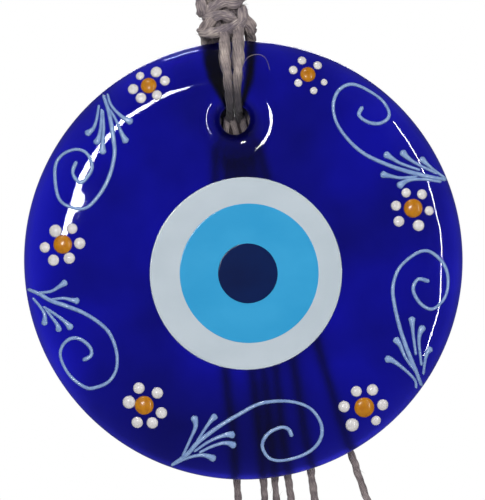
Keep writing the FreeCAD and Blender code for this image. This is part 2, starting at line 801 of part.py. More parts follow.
os.makedirs("parts", exist_ok=True)
for item in parts:
    item.Shape.exportStep("parts/%s.step" % item.Label)
print("%d nodes, %d solids" % (len(parts), sum(len(item.Shape.Solids) for item in parts)))
print("rim top %.2f, hole %.2f, disc centre %.2f, knot %s"
      % (RIM_TOP, HOLE_Z, DISC_Z, KNOT_CENTRE))
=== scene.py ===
# %% [markdown]
# # A glass eye ornament on a knotted twine hanger
# The ornament is a disc of poured cobalt glass, painted with raised enamel and hung in a sling of
# jute twine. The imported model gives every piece's place at its real size, in metres: +X is the
# viewer's right, the glass faces -Y and +Z is up. This script dresses it, piece by piece.

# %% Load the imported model
import json
import math
import random

import bmesh
import bpy
from mathutils import Matrix, Vector


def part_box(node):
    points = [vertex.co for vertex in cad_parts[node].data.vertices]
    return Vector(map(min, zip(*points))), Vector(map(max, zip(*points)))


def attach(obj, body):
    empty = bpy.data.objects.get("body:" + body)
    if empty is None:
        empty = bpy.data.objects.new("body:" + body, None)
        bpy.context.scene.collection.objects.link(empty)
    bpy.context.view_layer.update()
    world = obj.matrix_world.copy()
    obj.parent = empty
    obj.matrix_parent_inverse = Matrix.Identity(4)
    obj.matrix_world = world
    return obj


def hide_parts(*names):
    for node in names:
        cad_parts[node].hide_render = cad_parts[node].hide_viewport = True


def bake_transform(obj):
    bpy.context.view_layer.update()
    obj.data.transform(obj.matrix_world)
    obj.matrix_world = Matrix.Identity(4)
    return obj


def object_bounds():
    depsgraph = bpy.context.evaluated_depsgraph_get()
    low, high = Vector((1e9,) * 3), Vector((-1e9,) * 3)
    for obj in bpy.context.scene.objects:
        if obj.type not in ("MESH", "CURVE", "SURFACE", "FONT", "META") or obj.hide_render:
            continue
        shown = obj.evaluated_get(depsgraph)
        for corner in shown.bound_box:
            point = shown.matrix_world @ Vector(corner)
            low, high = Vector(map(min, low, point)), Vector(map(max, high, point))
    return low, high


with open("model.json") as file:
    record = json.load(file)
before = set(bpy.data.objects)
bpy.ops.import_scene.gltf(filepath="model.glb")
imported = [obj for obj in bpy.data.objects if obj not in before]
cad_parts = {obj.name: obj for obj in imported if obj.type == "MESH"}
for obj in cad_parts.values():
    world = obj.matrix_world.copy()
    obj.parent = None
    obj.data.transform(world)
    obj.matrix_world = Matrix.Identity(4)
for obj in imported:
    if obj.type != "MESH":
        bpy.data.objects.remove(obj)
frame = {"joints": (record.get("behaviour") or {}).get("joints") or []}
cad_low, cad_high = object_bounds()
MM = 0.001
joints = {joint["name"]: joint for joint in frame["joints"]}
glass_low, glass_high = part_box("glass_body")
hole = Vector(joints["disc_roll"]["pos_m"])
rim_top = glass_high.z
disc_centre = Vector((0, 0, (glass_low.z + glass_high.z) / 2))
disc_radius = (glass_high.z - glass_low.z) / 2
front = glass_low.y
back = glass_high.y
print("disc radius %.1f mm, hole %.1f mm above its middle"
      % (disc_radius / MM, (hole.z - disc_centre.z) / MM))

# %% [markdown]
# ## Camera first
# A long lens far away keeps the disc round. The ornament hangs straight in the model and is shown
# leaning a little, so the camera rolls instead.

# %% Camera
def placed(name, data):
    """A new object in the scene."""
    item = bpy.data.objects.new(name, data)
    bpy.context.scene.collection.objects.link(item)
    return item


LEAN = math.radians(3.45)
VIEW_HEIGHT = 148 * MM
CAMERA_DISTANCE = 0.85
camera = placed("camera", bpy.data.cameras.new("camera"))
camera.data.sensor_width = 36
camera.data.lens = 36 * CAMERA_DISTANCE / VIEW_HEIGHT
roll = Matrix.Rotation(LEAN, 4, "Y")
aim = disc_centre + roll @ Vector((-0.25 * MM, 0, 3.05 * MM))
camera.matrix_world = (Matrix.Translation(aim + Vector((0, -CAMERA_DISTANCE, 0)))
                       @ roll @ Matrix.Rotation(math.pi / 2, 4, "X"))
bpy.context.scene.camera = camera
print("camera %.2f m away, lens %.0f mm" % (CAMERA_DISTANCE, camera.data.lens))

# %% [markdown]
# ## Materials
# Every finish is built from nodes on Object coordinates or on the piece's own UV map, so that it
# stays put when the piece turns. One helper starts a material and hands back its main shader.

# %% Material helpers
def new_finish(name, colour, roughness, **settings):
    """A node material, and its Principled shader with the named inputs set."""
    finish = bpy.data.materials.new(name)
    finish.use_nodes = True
    shader = finish.node_tree.nodes["Principled BSDF"]
    shader.inputs["Base Color"].default_value = (*colour, 1)
    shader.inputs["Roughness"].default_value = roughness
    for setting, value in settings.items():
        shader.inputs[setting.replace("_", " ")].default_value = value
    return finish, shader


def add_node(finish, kind, **settings):
    node = finish.node_tree.nodes.new(kind)
    for name, value in settings.items():
        if hasattr(node, name):
            setattr(node, name, value)
        else:
            node.inputs[name.replace("_", " ")].default_value = value
    return node


def wire(finish, source, target):
    finish.node_tree.links.new(source, target)


def fed(finish, kind, *sources, **settings):
    """The output of a new node whose first inputs are wired to the sources."""
    node = add_node(finish, kind, **settings)
    for place, source in enumerate(sources):
        wire(finish, source, node.inputs[place])
    return node.outputs[0]


def noise(finish, scale, detail=3.0, coordinates="Object", stretch=(1, 1, 1)):
    """A noise pattern on the piece's coordinates, stretched along some of its axes."""
    where = add_node(finish, "ShaderNodeTexCoord")
    place = add_node(finish, "ShaderNodeMapping")
    place.inputs["Scale"].default_value = stretch
    pattern = add_node(finish, "ShaderNodeTexNoise", Scale=scale, Detail=detail)
    wire(finish, where.outputs[coordinates], place.inputs["Vector"])
    wire(finish, place.outputs["Vector"], pattern.inputs["Vector"])
    return pattern


def colour_steps(finish, source, stops):
    """Turn a value into colours: stops are (position, colour)."""
    ramp = add_node(finish, "ShaderNodeValToRGB")
    elements = ramp.color_ramp.elements
    while len(elements) < len(stops):
        elements.new(0.5)
    for element, (position, colour) in zip(elements, stops):
        element.position = position
        element.color = (*colour, 1)
    wire(finish, source, ramp.inputs["Fac"])
    return ramp.outputs["Color"]


def own_axes(finish):
    """The piece's own X, Y and Z, one output each."""
    where = add_node(finish, "ShaderNodeTexCoord")
    axes = add_node(finish, "ShaderNodeSeparateXYZ")
    wire(finish, where.outputs["Object"], axes.inputs["Vector"])
    return axes.outputs


def distance_from(finish, centre, axes):
    """Distance from a centre, counted along the axes that are 1."""
    where = add_node(finish, "ShaderNodeTexCoord")
    place = add_node(finish, "ShaderNodeMapping")
    place.inputs["Location"].default_value = [-c * axis for c, axis in zip(centre, axes)]
    place.inputs["Scale"].default_value = axes
    reach = add_node(finish, "ShaderNodeVectorMath", operation="LENGTH")
    wire(finish, where.outputs["Object"], place.inputs["Vector"])
    wire(finish, place.outputs["Vector"], reach.inputs["Vector"])
    return reach.outputs["Value"]


def carried_over(finish, source, start, end, low=0.0, high=1.0, ease="SMOOTHSTEP"):
    """Run a value from low to high while its source runs from start to end."""
    spread = add_node(finish, "ShaderNodeMapRange", interpolation_type=ease)
    for name, value in (("From Min", start), ("From Max", end), ("To Min", low), ("To Max", high)):
        spread.inputs[name].default_value = value
    wire(finish, source, spread.inputs["Value"])
    return spread.outputs["Result"]


def bump(finish, shader, height, strength, distance, under=None):
    """Raise the surface's shading by a pattern; distance is its depth in metres."""
    relief = add_node(finish, "ShaderNodeBump", Strength=strength, Distance=distance)
    wire(finish, height, relief.inputs["Height"])
    if under is not None:
        wire(finish, under, relief.inputs["Normal"])
    wire(finish, relief.outputs["Normal"], shader.inputs["Normal"])
    return relief.outputs["Normal"]


# %% [markdown]
# ### Twine
# Jute twine is two yarns of pale bast fibre laid round each other. Each yarn is its own tube in the
# mesh, so the finish only adds what is finer: fibres that run along the yarn at a slight angle, in
# grey-beige streaks, and a dull, dry surface. The UV map of a strand is in metres along its length.

# %% Twine finish
def shaded_towards_hole(finish, colour, top, bottom):
    """Darken a colour from one height down to another: painted shade on the cord as it nears the hole.
    """
    painted_shade = add_node(finish, "ShaderNodeMix", data_type="RGBA")
    painted_shade.inputs[7].default_value = (0.02, 0.018, 0.03, 1)
    depth = carried_over(finish, own_axes(finish)["Z"], top, bottom, high=0.88)
    wire(finish, depth, painted_shade.inputs[0])
    wire(finish, colour, painted_shade.inputs[6])
    return painted_shade.outputs[2]


def twine_finish(name, dark, middle, pale, shade_span=None):
    finish, shader = new_finish(name, middle, 0.9, Specular_IOR_Level=0.2, Sheen_Weight=0.15,
                                Sheen_Roughness=0.5)
    fibres = noise(finish, 1.0, 4.0, "UV", (500, 14, 1))
    blotches = noise(finish, 230.0, 2.0)
    blend = add_node(finish, "ShaderNodeMix", data_type="FLOAT")
    blend.inputs["Factor"].default_value = 0.35
    wire(finish, fibres.outputs["Fac"], blend.inputs[2])
    wire(finish, blotches.outputs["Fac"], blend.inputs[3])
    colour = colour_steps(finish, blend.outputs[0], [(0.32, dark), (0.5, middle), (0.68, pale)])
    if shade_span:
        colour = shaded_towards_hole(finish, colour, *shade_span)
    wire(finish, colour, shader.inputs["Base Color"])
    bump(finish, shader, fibres.outputs["Fac"], 0.7, 0.25 * MM)
    return finish


twine = twine_finish("jute_twine", (0.055, 0.045, 0.07), (0.20, 0.165, 0.175), (0.50, 0.43, 0.38))
tail_twine = twine_finish("grey_jute_twine", (0.07, 0.055, 0.06), (0.20, 0.165, 0.17),
                          (0.36, 0.31, 0.30))

# %% [markdown]
# ## Cords as real strands
# A cord's route is a short list of points; a smooth NURBS line through them is read back as a chain
# of close points. Strands are then tubes on helices round that chain, and a few loose fibres stand
# off them. Curves with a bevel give clean tubes with a UV map, which is turned into metres.

# %% Cord helpers
def smooth_line(points, closed=False):
    """Read a NURBS line through control points back as close points."""
    curve = bpy.data.curves.new("route", "CURVE")
    curve.dimensions = "3D"
    spline = curve.splines.new("NURBS")
    spline.points.add(len(points) - 1)
    for point, place in zip(spline.points, points):
        point.co = (*place, 1)
    spline.order_u = 3
    spline.use_cyclic_u = closed
    spline.use_endpoint_u = not closed
    spline.resolution_u = 12
    holder = bpy.data.objects.new("route", curve)
    mesh = bpy.data.meshes.new_from_object(holder)
    line = [vertex.co.copy() for vertex in mesh.vertices]
    bpy.data.objects.remove(holder)
    bpy.data.curves.remove(curve)
    bpy.data.meshes.remove(mesh)
    return line + line[:1] if closed else line


def even_line(line, step):
    """The same line with its points a step apart."""
    out = [line[0].copy()]
    left = step
    for start, end in zip(line, line[1:]):
        run = (end - start).length
        while run >= left:
            start = start + (end - start) * (left / run)
            out.append(start.copy())
            run = (end - start).length
            left = step
        left -= run
    if (out[-1] - line[-1]).length > step * 0.3:
        out.append(line[-1].copy())
    return out


def chain(points, step, closed=False):
    """Close points, a step apart, along a smooth line through control points."""
    return even_line(smooth_line(points, closed), step)


def carried_frames(line):
    """Tangent and two cross directions at each point, carried along without twisting."""
    frames = []
    side = None
    for place, point in enumerate(line):
        ahead = line[min(place + 1, len(line) - 1)]
        behind = line[max(place - 1, 0)]
        tangent = (ahead - behind).normalized()
        if side is None:
            side = tangent.cross(Vector((0, 1, 0)))
            if side.length < 0.1:
                side = tangent.cross(Vector((1, 0, 0)))
        side = (side - tangent * side.dot(tangent)).normalized()
        frames.append((tangent, side, tangent.cross(side)))
    return frames


def length_of(line):
    return sum((b - a).length for a, b in zip(line, line[1:]))


def tubes(lines, radii, sides):
    """One mesh of tubes along lines, with a number or a list of one number per point for each."""
    curve = bpy.data.curves.new("tubes", "CURVE")
    curve.dimensions = "3D"
    curve.bevel_depth = 1.0
    curve.bevel_resolution = sides
    curve.use_fill_caps = True
    lengths = []
    for line, radius in zip(lines, radii):
        spline = curve.splines.new("POLY")
        spline.points.add(len(line) - 1)
        for place, point in enumerate(line):
            spline.points[place].co = (*point, 1)
            spline.points[place].radius = radius[place] if isinstance(radius, list) else radius
        lengths.append(length_of(line))
    holder = bpy.data.objects.new("tubes", curve)
    mesh = bpy.data.meshes.new_from_object(holder)
    bpy.data.objects.remove(holder)
    bpy.data.curves.remove(curve)
    scale = sum(lengths) / len(lengths)
    for layer in mesh.uv_layers:
        for corner in layer.data:
            corner.uv = (corner.uv[0] * scale, corner.uv[1])
    for polygon in mesh.polygons:
        polygon.use_smooth = True
    return mesh


def laid_yarns(line, radius, pitch=7 * MM, phase=0.0, taper=None, plies=2, strands=5):
    """Lines and radii of a cord's strands: yarns laid round each other, each of finer strands
    that are twisted the other way. A single yarn is a soft bundle with hardly any lay."""
    frames = carried_frames(line)
    lay, spread, fine = (0.38, 0.31, 0.31) if plies > 1 else (0.0, 0.64, 0.37)
    out = []
    for ply in range(plies):
        for strand in range(strands):
            path = []
            thick = []
            travelled = 0.0
            own = 0.85 + 0.3 * random.Random(ply * 10 + strand + phase).random()
            for place, (point, (tangent, side, up)) in enumerate(zip(line, frames)):
                if place:
                    travelled += (point - line[place - 1]).length
                size = radius * (taper(place / (len(line) - 1)) if taper else 1.0)
                turn = phase + 2 * math.pi * (travelled / pitch + ply / plies)
                counter = 2 * math.pi * (strand / strands - travelled / (pitch * 1.3)) + phase * ply
                wander = spread * (1 - 0.22 * math.sin(travelled / MM * 0.6 * own + strand * 3))
                x = size * (lay * math.cos(turn) + wander * math.cos(counter))
                y = size * (lay * math.sin(turn) + wander * math.sin(counter))
                path.append(point + side * x + up * y)
                swell = 1 + 0.14 * math.sin(travelled / MM * (0.9 + 0.2 * own) + strand * 2 + phase)
                thick.append(size * fine * own * swell)
            out.append((path, thick))
    return out


def loose_fibres(line, radius, count, seed):
    """Short hairs that leave the cord's surface at a slant and curl a little."""
    draw = random.Random(seed)
    frames = carried_frames(line)
    hairs = []
    for _ in range(count):
        place = draw.randrange(1, len(line) - 1)
        tangent, side, up = frames[place]
        angle = draw.uniform(0, 2 * math.pi)
        out = side * math.cos(angle) + up * math.sin(angle)
        along = tangent * draw.choice((-1, 1))
        reach = 3.5 * MM * draw.uniform(0.4, 1.0)
        bend = draw.uniform(-0.5, 0.5)
        start = line[place] + out * radius * 0.85
        middle = start + (along * 0.8 + out * 0.25) * reach * 0.5
        end = middle + (along * 0.6 + out * (0.25 + 0.3 * bend) + side * bend * 0.4) * reach * 0.5
        hairs.append(([start, middle, end], [0.035 * MM, 0.03 * MM, 0.01 * MM]))
    return hairs


def mesh_piece(name, meshes, finish, body, replaced=(), smooth=True):
    """Join meshes into one piece that rides on a body."""
    shape = bmesh.new()
    for mesh in meshes:
        shape.from_mesh(mesh)
        bpy.data.meshes.remove(mesh)
    joined = bpy.data.meshes.new(name)
    shape.to_mesh(joined)
    shape.free()
    piece = placed(name, joined)
    joined.materials.clear()
    joined.materials.append(finish)
    if smooth:
        joined.polygons.foreach_set("use_smooth", [True] * len(joined.polygons))
    else:
        even = piece.modifiers.new("flat faces lead", "WEIGHTED_NORMAL")
        even.keep_sharp = True
    if body:
        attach(piece, body)
    if replaced:
        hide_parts(*replaced)
    print("%s: %d faces" % (name, len(joined.polygons)))
    return piece


def cord_mesh(line, radius, seed, pitch=7 * MM, hairs=30, taper=None, soft=False):
    """A cord's strands and its loose fibres, as meshes; a soft cord is one loose bundle."""
    plies, strands = (1, 9) if soft else (2, 5)
    laid = laid_yarns(line, radius, pitch, seed * 0.7, taper, plies, strands)
    meshes = [tubes(*zip(*laid), sides=1)]
    if hairs:
        meshes.append(tubes(*zip(*loose_fibres(line, radius, hairs, seed)), sides=0))
    return meshes


# %% [markdown]
# ## Six tails
# From the knot behind the hole six lengths of twine hang behind the disc and show under its rim,
# fanned to the right. Each runs through the same route points as its plain tube in the model, and
# ends in an overhand knot with its fibres combed out.

# %% Tails
TAIL_RADIUS = 1.1 * MM
# Spread at the disc's middle, at the rim's foot and at the end, and the length below the rim.
TAILS = [
    (-8.4, -5.6, -7.5, 56.0),
    (-0.6, 2.2, 1.6, 62.0),
    (3.0, 5.4, 6.8, 52.0),
    (6.6, 9.0, 16.0, 58.0),
    (10.4, 16.4, 21.5, 64.0),
    (15.8, 29.4, 49.0, 54.0),
]


def tail_route(place):
    """The route's points, from the top under the sling knot to the tail's own knot."""
    middle, foot, end, below = [value * MM for value in TAILS[place]]
    x, y, top = joints["tail_%d_swing" % (place + 1)]["pos_m"]
    rim_foot = disc_centre.z - disc_radius
    last = rim_foot - below
    return [
        Vector((x, y, top)),
        Vector((x + (middle - x) * 0.42, y, top + (disc_centre.z - top) * 0.55)),
        Vector((middle, y, disc_centre.z - 3 * MM)),
        Vector((middle + (foot - middle) * 0.44, y, (disc_centre.z + rim_foot) / 2)),
        Vector((foot, y, rim_foot + 2 * MM)),
        Vector((foot + (end - foot) * 0.42, y, rim_foot + (last - rim_foot) * 0.46)),
        Vector((end, y, last)),
    ]


def overhand(centre, axis, radius, thick):
    """Control points of an overhand knot drawn up tight round an axis that points down the cord."""
    axis = axis.normalized()
    side = axis.cross(Vector((0, 1, 0))).normalized()
    up = axis.cross(side)
    spread = radius - thick
    # (along the axis, to the side, to the front), in shares of the knot's spread
    steps = [(-1.5, 0.0, 0.0), (-0.9, 0.25, 0.25), (-0.45, 0.95, 0.3), (0.1, 0.6, -0.85),
             (0.35, -0.55, -0.9), (-0.05, -1.0, 0.1), (-0.3, -0.2, 1.0), (0.15, 0.85, 0.65),
             (0.6, 0.35, -0.15), (0.95, -0.1, -0.1), (1.6, 0.0, 0.0)]
    return [centre + (axis * a + side * b + up * c) * spread for a, b, c in steps]


for place in range(len(TAILS)):
    number = place + 1
    body = "tail_%d" % number
    route = tail_route(place)
    line = chain(route, 0.6 * MM)
    tail = mesh_piece("tail_twine_%d" % number,
                      cord_mesh(line, TAIL_RADIUS, number, pitch=13 * MM, hairs=90, soft=True),
                      tail_twine, body, [body])
    knot_low, knot_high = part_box("tail_knot_%d" % number)
    down = (route[-1] - route[-2]).normalized()
    centre = route[-1] + down * 2.4 * MM
    knot_line = chain(overhand(centre, down, 2.6 * MM, TAIL_RADIUS), 0.4 * MM)
    draw = random.Random(40 + number)
    fray = []
    for _ in range(46):
        angle = draw.uniform(0, 2 * math.pi)
        spread = draw.uniform(0.1, 1.5) * MM
        side = down.cross(Vector((0, 1, 0))).normalized()
        out = side * math.cos(angle) + down.cross(side) * math.sin(angle)
        start = centre + down * 2.3 * MM + out * spread * 0.35
        end = start + down * draw.uniform(4.2, 6.4) * MM + out * spread
        fray.append(([start, (start + end) / 2 - out * spread * 0.1, end],
                     [0.13 * MM, 0.11 * MM, 0.03 * MM]))
    knot = mesh_piece("tail_end_%d" % number,
                      cord_mesh(knot_line, TAIL_RADIUS * 0.92, number + 10, pitch=6 * MM, hairs=12)
                      + [tubes(*zip(*fray), sides=0)],
                      tail_twine, body, ["tail_knot_%d" % number])
    print("tail %d is %.0f mm long" % (number, length_of(line) / MM))

# %% [markdown]
# ## The glass disc
# The disc was poured as a flat plate. Its front falls away slowly at the shoulder and turns tighter
# at the rim; the hole near the top is rounded where the twine bears on it. It is blue right through,
# so that thin parts glow and thick parts go almost black.

# %% Glass shape
SHOULDER = 24.0 * MM
RIM_ROUND = 3.0 * MM
BACK_ROUND = 3.5 * MM
THICKNESS = back - front
TURN_COS = (SHOULDER - THICKNESS + BACK_ROUND) / (SHOULDER - RIM_ROUND)
FULL_TURN = math.acos(TURN_COS)
FLAT = disc_radius - SHOULDER * math.sin(FULL_TURN) - RIM_ROUND * (1 - math.sin(FULL_TURN))
THROAT = 4.4 * MM
FLARE = 8.0 * MM
FLARE_REACH = 11.4 * MM
BACK_FLARE = 2.0 * MM


def finished(shape, name):
    bmesh.ops.recalc_face_normals(shape, faces=shape.faces)
    mesh = bpy.data.meshes.new(name)
    shape.to_mesh(mesh)
    shape.free()
    return mesh


def arc_points(centre, radius, start, end, steps):
    """Points of an arc; angles are measured from the front (-Y) towards the rim."""
    return [(centre[0] + radius * math.sin(start + (end - start) * step / steps),
             centre[1] - radius * math.cos(start + (end - start) * step / steps))
            for step in range(steps + 1)]


def spun(name, profile, centre, steps=192):
    """Turn a half section of (distance, height towards +Y) into a closed solid."""
    shape = bmesh.new()
    verts = [shape.verts.new((distance, y, 0)) for distance, y in profile]
    edges = [shape.edges.new(pair) for pair in zip(verts, verts[1:])]
    bmesh.ops.spin(shape, geom=verts + edges, cent=(0, 0, 0), axis=(0, 1, 0),
                   angle=2 * math.pi, steps=steps, use_merge=True)
    bmesh.ops.remove_doubles(shape, verts=shape.verts, dist=1e-7)
    bmesh.ops.translate(shape, verts=shape.verts, vec=centre)
    return finished(shape, name)


def shaded(mesh, angle):
    for polygon in mesh.polygons:
        polygon.use_smooth = True
    mesh.set_sharp_from_angle(angle=math.radians(angle))
    return mesh


rim_centre = (disc_radius - RIM_ROUND, back - BACK_ROUND)
disc_profile = [(0, front), (FLAT - 0.6 * MM, front)]
disc_profile += arc_points((FLAT, front + SHOULDER), SHOULDER, 0, FULL_TURN, 16)
disc_profile += arc_points(rim_centre, RIM_ROUND, FULL_TURN, math.pi / 2, 10)[1:]
disc_profile += arc_points((disc_radius - BACK_ROUND, back - BACK_ROUND), BACK_ROUND,
                           math.pi / 2, math.pi, 10)[1:]
disc_profile += [(disc_radius - BACK_ROUND - 0.6 * MM, back), (0, back)]
plate = placed("plate", spun("plate", disc_profile, disc_centre, 256))

flare_end = math.asin((FLARE_REACH - THROAT) / FLARE)
hole_profile = [(0, front - 1 * MM), (FLARE_REACH - FLARE * math.sin(0.03), front - 1 * MM)]
hole_profile += arc_points((FLARE_REACH, front + FLARE), FLARE, -0.03, -flare_end, 14)
hole_profile += arc_points((THROAT + BACK_FLARE, back - BACK_FLARE), BACK_FLARE,
                           -math.pi / 2, -math.pi, 8)[:-1]
hole_profile += [(THROAT + BACK_FLARE * 0.97, back + 1 * MM), (0, back + 1 * MM)]
punch = placed("punch", spun("punch", hole_profile, Vector((0, 0, hole.z)), 96))
cut = plate.modifiers.new("hole", "BOOLEAN")
cut.operation = "DIFFERENCE"
cut.solver = "EXACT"
cut.object = punch
bpy.context.view_layer.update()
holed = bpy.data.meshes.new_from_object(plate.evaluated_get(bpy.context.evaluated_depsgraph_get()))
for item in (plate, punch):
    bpy.data.objects.remove(item)

# %% [markdown]
# Cobalt glass absorbs almost everything but deep blue. Old glass is never flat: a slow waviness
# bends the lamps' images, and a finer one breaks their edges. Its colour is painted darker round
# the hole and towards the foot: painted shade in the hole's walls and at the bottom of the disc.
# The back lay on the mould and is matt, so what hangs behind shows only as soft dark bands.

# %% Glass finish
cobalt, cobalt_shader = new_finish("cobalt_glass", (1, 1, 1), 0.03, Transmission_Weight=1.0,
                                   IOR=1.5)
clouds = noise(cobalt, 24.0, 3.0, stretch=(1, 0.5, 1))
cloud_colour = colour_steps(cobalt, clouds.outputs["Fac"],
                            [(0.32, (0.45, 0.45, 0.5)), (0.62, (1, 1, 1))])
glass_axes = own_axes(cobalt)
# Painted shade: the glass colour is darkened in the hole's rounded walls and towards the foot.
painted_shade_at_hole = carried_over(cobalt, distance_from(cobalt, hole, (1, 0, 1)), 5.2 * MM, 8.4 * MM,
                           low=0.1)
painted_shade_low = carried_over(cobalt, glass_axes["Z"], disc_centre.z - disc_radius, disc_centre.z - 25 * MM,
                       low=0.5)
shade = fed(cobalt, "ShaderNodeMath", painted_shade_at_hole, painted_shade_low, operation="MULTIPLY")
tint = add_node(cobalt, "ShaderNodeVectorMath", operation="SCALE")
wire(cobalt, cloud_colour, tint.inputs[0])
wire(cobalt, shade, tint.inputs["Scale"])
wire(cobalt, tint.outputs["Vector"], cobalt_shader.inputs["Base Color"])
matt = carried_over(cobalt, glass_axes["Y"], back - 0.8 * MM, back, 0.03, 0.85, "LINEAR")
wire(cobalt, matt, cobalt_shader.inputs["Roughness"])
slow_waves = noise(cobalt, 38.0, 1.0)
slow_relief = bump(cobalt, cobalt_shader, slow_waves.outputs["Fac"], 1.0, 1.1 * MM)
ripples = noise(cobalt, 190.0, 2.0)
bump(cobalt, cobalt_shader, ripples.outputs["Fac"], 0.5, 0.03 * MM, under=slow_relief)
depth = add_node(cobalt, "ShaderNodeVolumeAbsorption", Density=700.0)
depth.inputs["Color"].default_value = (0.0, 0.0, 0.805, 1)
wire(cobalt, depth.outputs["Volume"], cobalt.node_tree.nodes["Material Output"].inputs["Volume"])
mesh_piece("cobalt_disc", [shaded(holed, 40)], cobalt, "disc", ["glass_body"],
           smooth=False)

# %% [markdown]
# ## The poured eye
# Three rounds of opaque glass were let into the front while it was soft: white, light blue and a
# near-black pupil. Each stands a hair proud of the one before, with a softened edge.

# %% Eye
def poured(name, node, level, finish, wobble, seed):
    """A round of coloured glass from its floor in the disc to just above the front."""
    low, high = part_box(node)
    centre = Vector(((low.x + high.x) / 2, 0, (low.z + high.z) / 2))
    radius = (high.x - low.x) / 2
    top = front - level
    edge = 0.28 * MM
    profile = [(0, top), (radius - edge - 0.15 * MM, top)]
    profile += arc_points((radius - edge, top + edge), edge, 0, math.pi / 2, 6)
    profile += [(radius, high.y - 0.1 * MM), (0, high.y - 0.1 * MM)]
    mesh = spun(name, profile, centre, 160)
    for vertex in mesh.vertices:
        out = vertex.co - centre
        angle = math.atan2(out.x, out.z)
        stretch = 1 + wobble * (math.sin(2 * angle + seed) + 0.6 * math.sin(5 * angle + 2 * seed))
        vertex.co = Vector((centre.x + out.x * stretch, vertex.co.y, centre.z + out.z * stretch))
    return mesh_piece(name, [shaded(mesh, 50)], finish, "disc", [node], smooth=False)


def eye_glass(name, colour, shade, coat=0.4):
    """Opaque glass with faint clouds where the pour folded over itself."""
    finish, shader = new_finish(name, colour, 0.12, Coat_Weight=coat, Coat_Roughness=0.05,
                                Specular_IOR_Level=0.35)
    clouds = noise(finish, 55.0, 5.0, stretch=(1, 1, 1.6))
    wire(finish, colour_steps(finish, clouds.outputs["Fac"], [(0.35, shade), (0.62, colour)]),
         shader.inputs["Base Color"])
    pits = noise(finish, 420.0, 2.0)
    bump(finish, shader, pits.outputs["Fac"], 0.25, 0.02 * MM)
    return finish


poured("eye_white", "white_layer", 0.06 * MM,
       eye_glass("white_glass", (0.405, 0.46, 0.505), (0.375, 0.43, 0.475)),
       0.0016, 0.4)
poured("eye_iris", "iris_layer", 0.13 * MM,
       eye_glass("light_blue_glass", (0.03, 0.275, 0.51), (0.022, 0.25, 0.48)),
       0.0018, 1.3)
poured("eye_pupil", "pupil_layer", 0.2 * MM,
       eye_glass("dark_glass", (0.001, 0.009, 0.06), (0.001, 0.006, 0.045), coat=0.0),
       0.003, 2.1)

# %% [markdown]
# ## Enamel
# The painter put on thick enamel with a fine nozzle. Six daisies, each a ring of six white dots
# round an orange one, alternate with five light blue scrolls. The enamel follows the glass: every
# point of a stroke is given on the flat face and carried down the shoulder with it.

# %% Placing enamel on the glass
def glass_point(u, v, up=0.0):
    """A place on the front at u, v from the disc's middle, and the way out of the glass there."""
    distance = math.hypot(u, v)
    out = distance - FLAT
    if out <= 0:
        tilt = 0.0
        y = front
    elif out < SHOULDER * math.sin(FULL_TURN):
        tilt = math.asin(out / SHOULDER)
        y = front + SHOULDER * (1 - math.cos(tilt))
    else:
        tilt = math.asin(min((distance - rim_centre[0]) / RIM_ROUND, 1.0))
        y = rim_centre[1] - RIM_ROUND * math.cos(tilt)
    away = Vector((u, 0, v)) / max(distance, 1e-9)
    normal = away * math.sin(tilt) + Vector((0, -1, 0)) * math.cos(tilt)
    return disc_centre + Vector((u, 0, v)) + Vector((0, y - disc_centre.y, 0)) + normal * up, normal


def rounded_path(points, step):
    """A smooth line that runs through every point, as points a step apart."""
    points = [Vector((*point, 0)) for point in points]
    ends = [points[0] * 2 - points[1]] + points + [points[-1] * 2 - points[-2]]
    line = []
    for a, b, c, d in zip(ends, ends[1:], ends[2:], ends[3:]):
        for share in [count / 10 for count in range(10)]:
            line.append(0.5 * (2 * b + (c - a) * share + (2 * a - 5 * b + 4 * c - d) * share ** 2
                               + (3 * b - a - 3 * c + d) * share ** 3))
    line.append(points[-1])
    return even_line(line, step)


def bead(shape, line, width_at, height):
    """Add one stroke of enamel to a bmesh: a domed bead along a line of (u, v) points."""
    total = length_of(line)
    travelled = 0.0
    last_ring = None
    for place, point in enumerate(line):
        if place:
            travelled += (point - line[place - 1]).length
        ahead = line[min(place + 1, len(line) - 1)]
        behind = line[max(place - 1, 0)]
        half = width_at(travelled / total) / 2
        to_end = min(travelled, total - travelled, half) / half
        round_off = max(0.12, math.sqrt(max(0.0, 1 - (1 - to_end) ** 2)))
        centre, normal = glass_point(point.x, point.y)
        tangent = Vector((ahead.x - behind.x, 0, ahead.y - behind.y))
        side = tangent.cross(normal).normalized()
        half *= round_off
        tall = height * min(1.0, width_at(travelled / total) / (1.3 * MM)) * round_off ** 0.5
        ring = [shape.verts.new(centre + side * math.cos(angle) * half
                                + normal * (math.sin(angle) * tall - 0.04 * MM))
                for angle in [math.pi * step / 7 for step in range(8)]]
        ring += [shape.verts.new(centre - side * half * 0.8 - normal * 0.2 * MM),
                 shape.verts.new(centre + side * half * 0.8 - normal * 0.2 * MM)]
        if last_ring:
            for corner in range(10):
                shape.faces.new((last_ring[corner], last_ring[corner - 1], ring[corner - 1],
                                 ring[corner]))
        else:
            shape.faces.new(ring)
        last_ring = ring
    shape.faces.new(last_ring[::-1])


def dot(shape, u, v, radius, height):
    """A drop of enamel that has settled into a low dome."""
    centre, normal = glass_point(u, v, -0.05 * MM)
    turn = normal.to_track_quat("Z", "Y").to_matrix().to_4x4()
    squash = Matrix.Diagonal((radius, radius, height, 1))
    bmesh.ops.create_uvsphere(shape, u_segments=28, v_segments=14, radius=1.0,
                              matrix=Matrix.Translation(centre) @ turn @ squash)


def enamel(name, colour, shade):
    finish, shader = new_finish(name, colour, 0.28, Coat_Weight=0.4, Coat_Roughness=0.08,
                                Specular_IOR_Level=0.3)
    mottle = noise(finish, 700.0, 3.0)
    wire(finish, colour_steps(finish, mottle.outputs["Fac"], [(0.35, shade), (0.6, colour)]),
         shader.inputs["Base Color"])
    bump(finish, shader, mottle.outputs["Fac"], 0.4, 0.05 * MM)
    return finish


# %% [markdown]
# ### Daisies
# No two petals are alike: each is given by its clock angle, its distance and its radius in mm.

